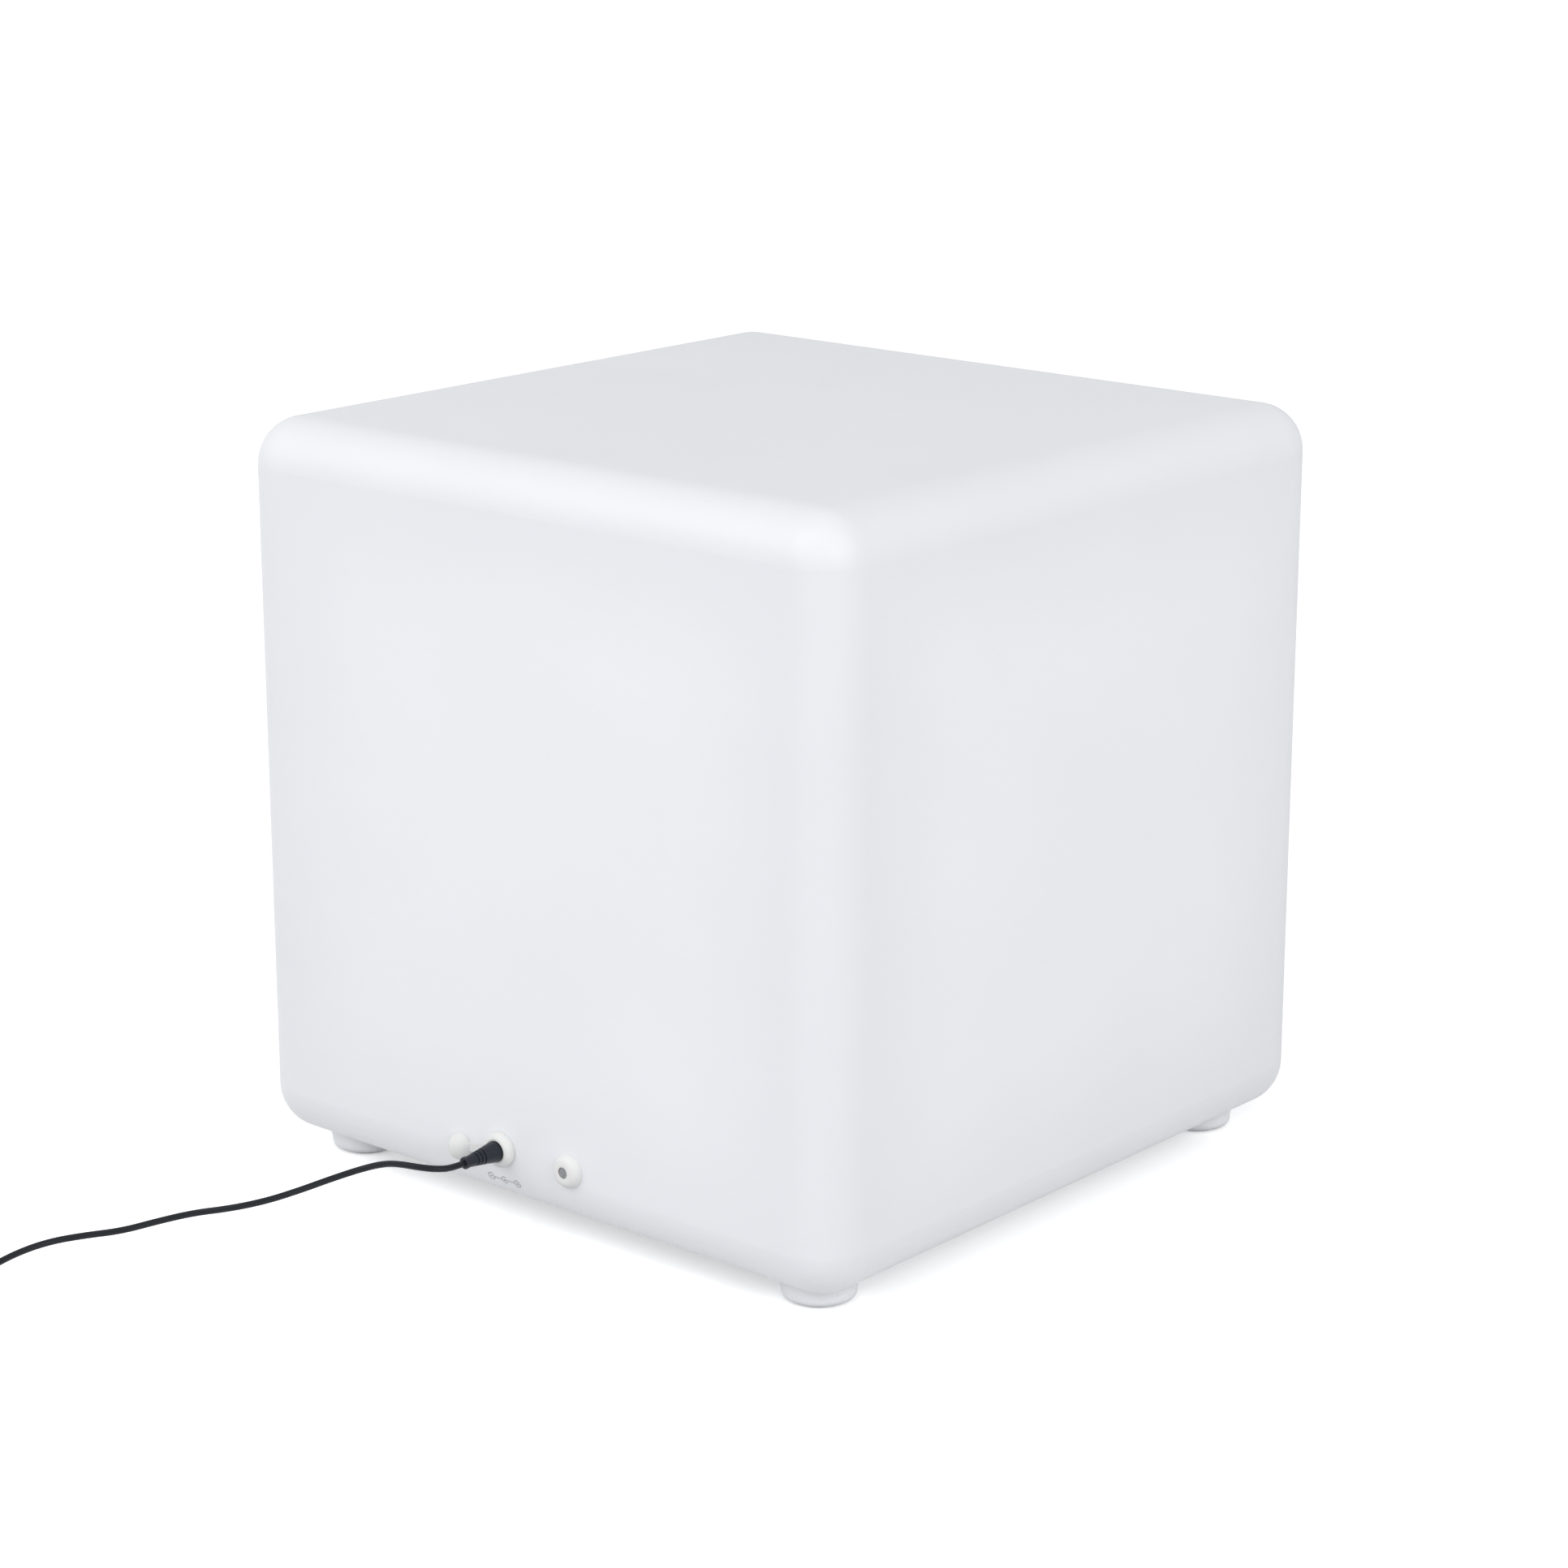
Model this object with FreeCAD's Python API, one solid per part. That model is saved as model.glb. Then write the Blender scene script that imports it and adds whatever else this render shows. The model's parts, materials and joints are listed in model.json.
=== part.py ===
"""Rechargeable light cube for the garden or porch: a 400 mm hollow white polyethylene body on four
moulded feet, with a lamp tower on a round hatch in its base, and a barrel jack with a tethered seal
cap and a push button low on one side. Its charging lead is plugged in.

Millimetres, +Z up. The origin is on the ground, under the middle of the body. The service face, with
the jack and the button, is the -Y face. Pieces on that face are turned about an axis along Y, and
their outlines are pairs of radius and stand, the distance outwards from the face.
"""
import FreeCAD, Part
import math
import os

Vector = FreeCAD.Vector
PARTS = "parts"
os.makedirs(PARTS, exist_ok=True)

# --- body, moulded in one piece with its feet ---
body_width = 400.0          # along X
body_depth = 400.0          # along Y
overall_height = 400.0      # ground to top face
body_base = 12.0            # ground to the body's flat underside
edge_radius = 25.0          # outside rounding of all twelve edges
body_wall = 3.2
foot_radius = 19.0
foot_inset = 40.0           # foot's centre from the body's sides
foot_edge = 3.4             # rounding of a foot's lower edge
foot_root_fillet = 7.0      # hollow rounding where a foot meets the body
pad_margin = 4.0            # from a foot's side to its pad
pad_thickness = 1.8
pad_stand = 0.8             # how far a pad stands out below its foot

# --- base hatch and its seat ---
hatch_thickness = 3.0
hatch_clearance = 0.4
gasket_thickness = 0.8
gasket_width = 4.0
tower_clearance = 6.0       # from the lamp tower to the opening that it passes through
seat_land = 1.5             # from the opening's edge to the gasket
seat_height = 9.0           # thickened ring above the hatch recess
seat_width = 12.0           # from the hatch's edge to the outside of the thickened ring
hatch_screws = 6
screw_land = 6.0            # from the gasket to the screws' circle
screw_edge = 6.5            # from the screws' circle to the hatch's edge
insert_radius = 2.8
insert_length = 6.0
screw_radius = 1.5
screw_thread_gap = 0.1      # between a screw and its insert
screw_head_radius = 2.8
screw_head_height = 1.6
screw_length = 8.0
slot_width = 0.8
slot_depth = 0.7
fit_gap = 0.1               # between a piece and the pocket that holds it

# --- lamp tower on the hatch ---
post_offset = 34.0          # posts stand at the corners of a square
post_radius = 5.5
post_neck_radius = 3.5
board_thickness = 1.6
board_margin = 5.0          # from a post's centre to the control board's edge
plate_margin = 8.0          # from a post's centre to the heat plate's edge
plate_thickness = 1.6
plate_gap = 11.0            # from the control board's top to the heat plate
cell_radius = 9.2
cell_length = 65.0
cell_gap = 0.1
cell_button_radius = 2.8
cell_button_height = 0.5
strip_thickness = 0.3
strip_width = 6.0
sleeve_thickness = 0.25
sleeve_gap = 0.05
cradle_floor = 1.5
cradle_wall = 1.8
cradle_wall_height = 11.0
cradle_gap = 0.3
foam_thickness = 2.5
foam_length = 50.0
foam_width = 28.0
chip_sizes = [(14.0, 10.0, 2.2), (7.0, 7.0, 1.4), (9.0, 5.0, 4.0)]
chip_places = [(0.0, 2.0), (-20.0, 16.0), (18.0, 16.0)]
receiver_size = (12.0, 8.0, 3.0)
receiver_place = (-20.0, -6.0)
header_size = (8.0, 6.0, 5.0)
header_offset = 18.0        # headers of the jack's and the switch's wires, from the middle
led_ring_radii = [18.0, 38.0]
led_ring_counts = [8, 16]
led_side = 5.0
led_height = 1.6
cover_inset = 2.0           # from the lamp board's edge to the cover
cover_rise = 16.0
cover_wall = 1.5
cover_rim = 3.0
lead_hole_radius = 3.0
lead_hole_place = 27.0

# --- pieces on the service face ---
jack_x = -18.0
service_margin = 7.0        # from the body's lower rounding up to both axes
barrel_body_radius = 5.9    # threaded bodies of jack and switch
body_length = 12.0          # how far both reach inwards from the face
panel_hole_gap = 0.3
head_overlap = 1.3          # from a threaded body's side to the edge of its head
head_height = 0.6
panel_gasket_thickness = 0.6
washer_width = 2.0
washer_thickness = 0.8
nut_wall = 1.1
nut_thickness = 3.0
lug_length = 5.0
lug_width = 1.6
lug_thickness = 0.5

nose_step = 0.9             # from the head's edge in to the jack's nose
nose_stand = 3.6
lip_width = 0.4
lip_height = 0.6
collar_clearance = 0.08     # collar turns on the jack's nose
collar_wall = 2.3           # from the head's edge to the collar's flange
collar_flange_height = 0.6
collar_flange_step = 0.25
collar_mouth_overlap = 0.8  # from the nose's edge in to the collar's mouth
collar_mouth_chamfer = 0.3
collar_rim_width = 0.9
collar_bulge = 1.2
collar_cover = 1.4          # from the nose's end to the collar's rim
tether_length = 29.6        # jack axis to cap axis
tether_droop = 10.9         # degrees below level, as it lies at rest
tether_width = 5.0
tether_waist = 4.0
tether_thickness = 1.2
tether_root = 1.0           # how far the strap reaches into the collar and the cap
stopper_clearance = 0.15    # from the cap's stopper to the jack's bore
cap_radius = 7.4
cap_wall = 1.5
cap_rim = 1.0               # height of the cap's edge under its dome
cap_stand = 6.8
cap_bulge = 0.8             # of the dome's hollow side
face_gap = 0.15             # between the collar and the body's face
cap_pass_gap = 0.8          # between the cap and the button's boot as the cap turns past

boot_wall = 2.0             # from the head's edge to the boot's flange
boot_flange_height = 0.5
boot_flange_step = 0.2
boot_stand = 4.6
boot_skin = 1.1
boot_bulge = 1.4
boot_rim_width = 0.7
boot_rim_chamfer = 0.1
button_radius = 2.75
button_clearance = 0.05     # button slides in the switch's head
button_edge = 0.3
boot_hole_clearance = 0.2
button_stand = 4.4
button_travel = 1.2
stop_gap = 0.2              # from the button's shoulder to the head
switch_wall = 1.5
switch_lip = 1.0            # thickness of the switch's head over its bore
switch_floor = 2.0
shoulder_clearance = 0.3
shoulder_height = 1.0
stem_radius = 1.1
stem_length = 3.6
spring_radius = 2.2         # to the middle of the wire
spring_wire = 0.5
spring_turns = 5
points_per_turn = 8

# --- charging plug ---
plug_bore_clearance = 0.05
barrel_radius = 2.75
barrel_wall = 0.5
contact_radius = 1.6
pin_radius = 1.0
pin_clearance = 0.08        # between the jack's pin and the plug's contact
pin_stand = 2.6             # centre pin's tip
pin_tip_fillet = 0.6
barrel_length = 9.5
barrel_end_room = 2.0       # from the barrel's tip to the jack's floor
grip_gap = 0.2              # from the collar's rim to the grip
grip_length = 22.1
grip_wide_radius = 5.6
grip_edge = 0.4
grip_waist_radius = 4.4
grip_waist_at = 8.0
grip_end_radius = 2.85
grip_collar_radius = 3.15
grip_collar_length = 2.2
grip_rib_depth = 0.35
grip_rib_width = 1.0
grip_ribs = 3
grip_rib_start = 1.6        # from the waist to the first groove
grip_rib_pitch = 2.3

# --- cord, coil and mains adapter ---
cord_diameter = 3.4
cord_stub = 8.9             # straight stretch out of the plug
cord_points = [             # from there to the coil, over the ground
    (-21.2, -243.8, 45.0),
    (-27.8, -249.4, 46.0),
    (-37.2, -252.0, 46.0),
    (-48.5, -252.6, 43.8),
    (-59.5, -257.4, 39.8),
    (-69.5, -269.0, 35.4),
    (-77.5, -284.0, 31.4),
    (-86.0, -300.0, 28.0),
    (-99.0, -313.0, 24.5),
    (-114.0, -323.5, 21.5),
    (-125.0, -338.0, 18.5),
    (-134.0, -354.0, 15.8),
    (-147.5, -367.0, 13.8),
    (-157.5, -381.0, 12.2),
    (-161.5, -398.0, 10.5),
    (-161.5, -417.0, 8.0),
    (-160.5, -435.0, 5.0),
    (-164.0, -450.0, 3.2),
]
coil_x = -190.0
coil_y = -463.0
coil_radius = 19.8          # middle of the turns
coil_turns_across = 3
coil_turns_high = 3
tie_thickness = 0.6
tie_width = 9.0
tie_bearing = 135.0         # degrees, where the tie sits on the coil
tail_points = [             # from the coil towards the adapter
    (-201.0, -486.8, 9.0),
    (-212.0, -488.5, 8.0),
]
tail_stub = 14.0            # straight stretch into the strain relief
adapter_length = 66.0
adapter_width = 38.0
adapter_height = 27.0
adapter_wall = 2.0
adapter_corner = 6.0
adapter_split = 16.0        # height of the joint between its two shells
adapter_x = -258.0          # end that the cord leaves from
adapter_y = -490.0
relief_length = 20.0
relief_wide_radius = 3.6
relief_end_radius = 2.3
relief_flange = 1.0
relief_drop = 5.0           # from the shells' joint down to the cord's axis
mains_pin_radius = 2.0
mains_pin_length = 19.0
mains_pin_root = 6.0        # inside the adapter
mains_pin_spacing = 18.6
mains_pin_tip = 1.6
pin_base_margin = 4.0       # from the adapter's side to the raised base of the pins
pin_base_height = 2.0
supply_side_margin = 2.0    # from the adapter's wall to the board
supply_end_margin = 6.0
supply_board_stand = 3.0
supply_leg_side = 3.0
supply_leg_inset = 4.0
supply_block_size = (20.0, 18.0, 15.0)
supply_block_shift = 8.0

# --- internal wires ---
wire_radius = 0.8
wire_pitch = 2.4
wire_stub = 7.0             # straight stretch at each end
jack_wire_points = [
    (-17.0, -160.0, 38.5),
    (-13.0, -138.0, 30.5),
    (-12.0, -117.0, 28.0),
    (-13.0, -96.0, 28.5),
    (-16.0, -76.0, 31.5),
    (-17.5, -60.0, 36.5),
]
switch_wire_points = [
    (28.5, -160.0, 38.0),
    (26.0, -137.0, 30.5),
    (23.0, -117.0, 28.0),
    (20.0, -96.0, 29.0),
    (18.5, -76.0, 31.5),
    (18.2, -60.0, 36.5),
]

# --- sizes and places that follow from those above ---
face_y = -body_depth / 2.0
pad_radius = foot_radius - pad_margin
plate_radius = math.hypot(post_offset, post_offset) + plate_margin
cover_radius = plate_radius - cover_inset
opening_radius = plate_radius + tower_clearance
gasket_inner = opening_radius + seat_land
gasket_outer = gasket_inner + gasket_width
hatch_screw_circle = gasket_outer + screw_land
hatch_radius = hatch_screw_circle + screw_edge
board_side = 2 * (post_offset + board_margin)
cell_spacing = 2 * cell_radius + cell_gap
service_z = body_base + edge_radius + service_margin
panel_hole_radius = barrel_body_radius + panel_hole_gap
head_radius = barrel_body_radius + head_overlap
head_top = panel_gasket_thickness + head_height
washer_radius = barrel_body_radius + fit_gap + washer_width
nose_radius = head_radius - nose_step
collar_flange_radius = head_radius + collar_wall
collar_mouth_radius = nose_radius - collar_mouth_overlap
collar_stand = nose_stand + collar_cover
bore_radius = barrel_radius + plug_bore_clearance
stopper_radius = bore_radius - stopper_clearance
boot_flange_radius = head_radius + boot_wall
button_x = jack_x + tether_length + cap_radius + cap_pass_gap + boot_flange_radius
switch_bore = barrel_body_radius - switch_wall
switch_shelf = head_top - switch_lip
shoulder_top = switch_shelf - stop_gap
shoulder_radius = switch_bore - shoulder_clearance
floor_z = body_base + body_wall                     # inside face of the body's underside
hatch_top = body_base + hatch_thickness
seat_z = hatch_top + gasket_thickness
seat_top = seat_z + seat_height
cell_z = hatch_top + cradle_floor + sleeve_thickness + sleeve_gap + cell_radius
foam_z = cell_z + cell_radius + sleeve_gap + sleeve_thickness
board_z = foam_z + foam_thickness
board_top = board_z + board_thickness
plate_z = board_top + plate_gap
lamp_board_z = plate_z + plate_thickness
lamp_top = lamp_board_z + board_thickness
header_y = -(board_side - header_size[1]) / 2.0
header_z = board_top + header_size[2] / 2.0
grip_stand = collar_stand + grip_gap
grip_end_stand = grip_stand + grip_length
jack_floor = grip_stand - barrel_length - barrel_end_room
cord_radius = cord_diameter / 2.0
coil_half = cord_diameter * coil_turns_across / 2.0
coil_base = tie_thickness
coil_top = coil_base + cord_diameter * coil_turns_high
relief_z = adapter_split - relief_drop
pin_base_radius = adapter_width / 2.0 - pin_base_margin
mains_pin_x = adapter_x - adapter_length + adapter_wall + pin_base_radius
foot_places = [
    (sx * (body_width / 2.0 - foot_inset), sy * (body_depth / 2.0 - foot_inset))
    for sx in (-1, 1) for sy in (-1, 1)
]
post_places = [(sx * post_offset, sy * post_offset) for sx in (-1, 1) for sy in (-1, 1)]


def disc(x, y, z0, z1, radius):
    """Upright round piece between two heights."""
    return Part.makeCylinder(radius, z1 - z0, Vector(x, y, z0))


def ring(x, y, z0, z1, outer, inner):
    return disc(x, y, z0, z1, outer).cut(disc(x, y, z0, z1, inner))


def block(x0, x1, y0, y1, z0, z1):
    return Part.makeBox(x1 - x0, y1 - y0, z1 - z0, Vector(x0, y0, z0))


def centred_block(x, y, z0, size):
    """Block standing on z0 with its middle at x, y."""
    return Part.makeBox(size[0], size[1], size[2], Vector(x - size[0] / 2.0, y - size[1] / 2.0, z0))


def rounded_box(width, depth, z0, z1, radius):
    box = block(-width / 2.0, width / 2.0, -depth / 2.0, depth / 2.0, z0, z1)
    return box.makeFillet(radius, box.Edges)


def outline_face(points):
    """Closed face in the XZ plane. A point after a string "arc" and a middle point ends an arc."""
    edges = []
    here = points[0]
    steps = list(points[1:]) + [points[0]]
    while steps:
        step = steps.pop(0)
        if step == "arc":
            middle, end = steps.pop(0), steps.pop(0)
            curve = Part.Arc(*[Vector(p[0], 0, p[1]) for p in (here, middle, end)])
            edges.append(curve.toShape())
        else:
            end = step
            if math.dist(here, end) < 1e-9:
                continue
            edges.append(Part.makeLine(Vector(here[0], 0, here[1]), Vector(end[0], 0, end[1])))
        here = end
    return Part.Face(Part.Wire(edges))


def turned(points):
    """Outline of radius and height in the XZ plane, turned about the Z axis."""
    solid = outline_face(points).revolve(Vector(0, 0, 0), Vector(0, 0, 1), 360)
    if solid.Volume < 0:
        solid.reverse()
    return solid


def turned_upright(x, y, points):
    """Outline of radius and height, turned about a vertical axis."""
    solid = turned(points)
    solid.translate(Vector(x, y, 0))
    return solid


def turned_on_face(x, z, points):
    """Outline of radius and stand, turned about an axis that points out of the service face."""
    solid = turned(points)
    solid.rotate(Vector(0, 0, 0), Vector(1, 0, 0), 90)
    solid.translate(Vector(x, face_y, z))
    return solid


def bar_on_face(x, z, radius, stand0, stand1):
    """Round bar along Y between two stands."""
    return Part.makeCylinder(radius, stand1 - stand0, Vector(x, face_y - stand0, z), Vector(0, -1, 0))


def hexagon_on_face(x, z, flats, stand0, stand1):
    corners = [
        Vector(x + flats / math.sqrt(3) * math.cos(a), face_y - stand0,
               z + flats / math.sqrt(3) * math.sin(a))
        for a in [math.radians(60 * k) for k in range(7)]
    ]
    return Part.Face(Part.makePolygon(corners)).extrude(Vector(0, stand0 - stand1, 0))


def bulged(start, end, rise):
    """Arc to end that stands out by rise on the right of the way from start, as part of an outline."""
    way = (end[0] - start[0], end[1] - start[1])
    share = rise / math.hypot(way[0], way[1])
    middle = ((start[0] + end[0]) / 2.0 + way[1] * share, (start[1] + end[1]) / 2.0 - way[0] * share)
    return ["arc", middle, end]


def crown(radius, base, top):
    """Spherical crown over a rim of this radius, as the end of an outline that stops on the axis."""
    rise = top - base
    ball = (radius ** 2 + rise ** 2) / (2.0 * rise)
    half_angle = math.atan2(radius, ball - rise) / 2.0
    return ["arc", (ball * math.sin(half_angle), top - ball + ball * math.cos(half_angle)), (0, top)]


def joined(first, others):
    return first.fuse(list(others)).removeSplitter()


def around(count, radius, start=0.0):
    """Places on a circle about the body's axis."""
    turns = [start + 2 * math.pi * k / count for k in range(count)]
    return [(radius * math.cos(t), radius * math.sin(t)) for t in turns]


def tube(points, radius, name=None):
    """Round tube along straight runs joined by tangent arcs, each as large as its two runs allow."""
    stops = [Vector(*p) for p in points]
    edges, radii = [], []
    here = stops[0]
    for before, corner, after in zip(stops, stops[1:], stops[2:]):
        run_in, run_out = corner - before, after - corner
        turn = run_in.getAngle(run_out)
        reach = 0.45 * min(run_in.Length, run_out.Length)
        start = corner - run_in.normalize() * reach
        end = corner + run_out.normalize() * reach
        bend = reach / math.tan(turn / 2.0)
        inward = (run_out - run_in).normalize()
        middle = corner + inward * (bend / math.cos(turn / 2.0) - bend)
        edges.append(Part.LineSegment(here, start).toShape())
        edges.append(Part.Arc(start, middle, end).toShape())
        radii.append(bend)
        here = end
    edges.append(Part.LineSegment(here, stops[-1]).toShape())
    path = Part.Wire(edges)
    section = Part.Wire([Part.Circle(stops[0], stops[1] - stops[0], radius).toShape()])
    solid = path.makePipeShell([section], True, True)
    solid = Part.Solid(solid) if solid.ShapeType == "Shell" else solid
    if name:
        share = solid.Volume / (math.pi * radius ** 2 * path.Length)
        print("%s: length %.1f, volume share %.4f, radii in diameters %s" % (
            name, path.Length, share, ", ".join("%.1f" % (r / radius / 2.0) for r in radii)))
    return solid


def save(name, shape):
    """Writes one named piece, as one solid or as a group of separate solids."""
    solids = shape if isinstance(shape, list) else [shape]
    solids = [s for item in solids for s in item.Solids]
    for solid in solids:
        if not solid.isValid() or solid.Volume <= 0:
            print("CHECK", name, "has a faulty solid")
    whole = solids[0] if len(solids) == 1 else Part.makeCompound(solids)
    whole.exportStep(os.path.join(PARTS, name + ".step"))


# --- body ---

def foot(x, y):
    """Foot with a rounded lower edge, reaching into the underside's wall."""
    bend = foot_edge * (1 - math.sqrt(0.5))
    return turned_upright(x, y, [
        (0, pad_stand), (foot_radius - foot_edge, pad_stand),
        "arc", (foot_radius - bend, pad_stand + bend), (foot_radius, pad_stand + foot_edge),
        (foot_radius, body_base + body_wall / 2.0), (0, body_base + body_wall / 2.0),
    ])


def is_foot_root(edge):
    """Whether an edge runs where a foot's side meets the body."""
    steps = [edge.FirstParameter + (edge.LastParameter - edge.FirstParameter) * k / 4.0 for k in range(5)]
    points = [edge.valueAt(step) for step in steps]
    return any(
        all(abs(math.hypot(p.x - x, p.y - y) - foot_radius) < 1e-3 and p.z > body_base - 1e-3
            for p in points)
        for x, y in foot_places)


def body_shell():
    shell = rounded_box(body_width, body_depth, body_base, overall_height, edge_radius)
    shell = shell.fuse([foot(x, y) for x, y in foot_places]).removeSplitter()
    shell = shell.makeFillet(foot_root_fillet, [e for e in shell.Edges if e.Length and is_foot_root(e)])
    hollow = rounded_box(body_width - 2 * body_wall, body_depth - 2 * body_wall, floor_z,
                         overall_height - body_wall, edge_radius - body_wall)
    feet_inside = [
        disc(x, y, pad_thickness + body_wall, floor_z + 1, foot_radius - body_wall)
        for x, y in foot_places
    ]
    shell = shell.cut(hollow.fuse(feet_inside))
    shell = shell.fuse(disc(0, 0, body_base, seat_top, hatch_radius + seat_width))
    cuts = [disc(x, y, pad_stand - 1, pad_thickness, pad_radius + fit_gap) for x, y in foot_places]
    cuts.append(disc(0, 0, body_base - 1, seat_z, hatch_radius + hatch_clearance))
    cuts.append(disc(0, 0, body_base - 1, seat_top + 1, opening_radius))
    for x, y in around(hatch_screws, hatch_screw_circle):
        cuts.append(disc(x, y, seat_z - 1, seat_z + insert_length, insert_radius + fit_gap))
    for x in (jack_x, button_x):
        cuts.append(bar_on_face(x, service_z, panel_hole_radius, -edge_radius, 1))
        cuts.append(bar_on_face(x, service_z, washer_radius + fit_gap, -edge_radius, -body_wall))
    return shell.cut(cuts).removeSplitter()


def foot_pad(x, y):
    pad = disc(x, y, 0, pad_thickness, pad_radius)
    return pad.makeChamfer(pad_stand / 2.0, [e for e in pad.Edges if e.BoundBox.ZMax < 1e-6])


# --- hatch ---

def countersunk(x, y, gap):
    """Cone of a screw's head in the hatch, grown by gap."""
    return Part.makeCone(screw_head_radius + gap, screw_radius + gap, screw_head_height,
                         Vector(x, y, body_base), Vector(0, 0, 1))


def screw_slot(x, y, z0, z1):
    return block(x - screw_head_radius, x + screw_head_radius, y - slot_width / 2.0,
                 y + slot_width / 2.0, z0, z1)


def hatch_screw(x, y):
    """Slotted screw driven upwards through the hatch into its insert."""
    shank = disc(x, y, body_base, body_base + screw_length, screw_radius)
    screw = countersunk(x, y, 0).fuse(shank)
    return screw.cut(screw_slot(x, y, body_base - 1, body_base + slot_depth)).removeSplitter()


def hatch_inserts():
    return [
        ring(x, y, seat_z, seat_z + insert_length, insert_radius, screw_radius + screw_thread_gap)
        for x, y in around(hatch_screws, hatch_screw_circle)
    ]


def hatch_gasket():
    return ring(0, 0, hatch_top, seat_z, gasket_outer, gasket_inner)


def post(x, y):
    lower = disc(x, y, hatch_top, board_z, post_radius)
    upper = disc(x, y, board_z, plate_z, post_neck_radius)
    return lower.fuse(upper)


def base_hatch():
    plate = disc(0, 0, body_base, hatch_top, hatch_radius)
    plate = joined(plate, [post(x, y) for x, y in post_places])
    cuts = []
    for x, y in around(hatch_screws, hatch_screw_circle):
        cuts.append(disc(x, y, body_base - 1, hatch_top + 1, screw_radius + fit_gap))
        cuts.append(countersunk(x, y, fit_gap))
    for x, y in post_places:
        cuts.append(disc(x, y, plate_z - screw_length, plate_z + 1, screw_radius + fit_gap))
    return plate.cut(cuts).removeSplitter()


# --- battery ---

def battery_cell(side):
    y = side * cell_spacing / 2.0
    can = Part.makeCylinder(cell_radius, cell_length, Vector(-cell_length / 2.0, y, cell_z),
                            Vector(1, 0, 0))
    button = Part.makeCylinder(cell_button_radius, cell_button_height,
                               Vector(cell_length / 2.0, y, cell_z), Vector(1, 0, 0))
    return joined(can, [button])


def stadium(radius, length):
    """Solid along X with the section of two cells side by side."""
    x = -length / 2.0
    rounds = [
        Part.makeCylinder(radius, length, Vector(x, side * cell_spacing / 2.0, cell_z), Vector(1, 0, 0))
        for side in (-1, 1)
    ]
    middle = block(x, -x, -cell_spacing / 2.0, cell_spacing / 2.0, cell_z - radius, cell_z + radius)
    return joined(middle, rounds)


def battery_sleeve():
    inner = cell_radius + sleeve_gap
    return stadium(inner + sleeve_thickness, cell_length).cut(stadium(inner, cell_length + 2))


def battery_strips():
    """Nickel strips that join the two cells at each end."""
    strips = []
    for end, stand in ((-1, 0.0), (1, cell_button_height)):
        x = end * (cell_length / 2.0 + stand + strip_thickness / 2.0)
        strips.append(centred_block(x, 0, cell_z - strip_width / 2.0,
                                    (strip_thickness, cell_spacing + strip_width, strip_width)))
    return strips


def battery_cradle():
    inner_x = cell_length / 2.0 + cell_button_height + strip_thickness + cradle_gap
    inner_y = cell_spacing / 2.0 + cell_radius + sleeve_gap + sleeve_thickness + cradle_gap
    outer_x, outer_y = inner_x + cradle_wall, inner_y + cradle_wall
    floor_top = hatch_top + cradle_floor
    tray = block(-outer_x, outer_x, -outer_y, outer_y, hatch_top, floor_top + cradle_wall_height)
    tray = tray.cut(block(-inner_x, inner_x, -inner_y, inner_y, floor_top,
                          floor_top + cradle_wall_height + 1))
    notch = cell_spacing / 2.0 + strip_width
    return tray.cut(block(-outer_x - 1, outer_x + 1, -notch, notch, floor_top,
                          floor_top + cradle_wall_height + 1))


# --- boards and lamp ---

def control_board():
    board = centred_block(0, 0, board_z, (board_side, board_side, board_thickness))
    return board.cut([disc(x, y, board_z - 1, board_top + 1, post_neck_radius + fit_gap)
                      for x, y in post_places])


def wire_headers():
    """Sockets on the control board for the jack's, the switch's and the lamp's wires."""
    front = [centred_block(side * header_offset, header_y, board_top, header_size) for side in (-1, 1)]
    return front + [centred_block(0, lead_hole_place, board_top, header_size)]


def lamp_plate(z, thickness, radius):
    """Round plate with holes for the four screws and the lamp's wires."""
    plate = disc(0, 0, z, z + thickness, radius)
    holes = [disc(x, y, z - 1, z + thickness + 1, screw_radius + fit_gap) for x, y in post_places]
    holes.append(disc(0, lead_hole_place, z - 1, z + thickness + 1, lead_hole_radius))
    return plate.cut(holes)


def lamp_screws():
    """Pan-head screws that hold the lamp board and the heat plate on the posts."""
    screws = []
    for x, y in post_places:
        head = disc(x, y, lamp_top, lamp_top + screw_head_height, screw_head_radius)
        shank = disc(x, y, lamp_top - screw_length, lamp_top, screw_radius)
        head_end = lamp_top + screw_head_height
        slot = screw_slot(x, y, head_end - slot_depth, head_end + 1)
        screws.append(head.fuse(shank).cut(slot).removeSplitter())
    return screws


def leds():
    lamps = []
    for radius, count in zip(led_ring_radii, led_ring_counts):
        start = math.pi / count
        for x, y in around(count, radius, start):
            lamps.append(centred_block(x, y, lamp_top, (led_side, led_side, led_height)))
    return lamps


def lamp_cover():
    """Shallow opal dome that stands on the lamp board."""
    rim_top = lamp_top + cover_rim

    def dome(radius, top):
        sides = [(0, lamp_top), (radius, lamp_top), (radius, rim_top)]
        return turned_upright(0, 0, sides + crown(radius, rim_top, top))

    top = rim_top + cover_rise
    return dome(cover_radius, top).cut(dome(cover_radius - cover_wall, top - cover_wall))


# --- wires inside the body ---

def panel_leads(x, points, header_x):
    """Wires from a jack's or switch's lugs to a header on the board, straight at both ends."""
    lug_end = face_y + body_length + lug_length
    header_face = header_y - header_size[1] / 2.0
    start = [(x, lug_end, service_z), (x, lug_end + wire_stub, service_z)]
    end = [(header_x, header_face - wire_stub, header_z), (header_x, header_face, header_z)]
    return [
        tube([(px + side * wire_pitch / 2.0, py, pz) for px, py, pz in start + points + end],
             wire_radius)
        for side in (-1, 1)
    ]


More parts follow.
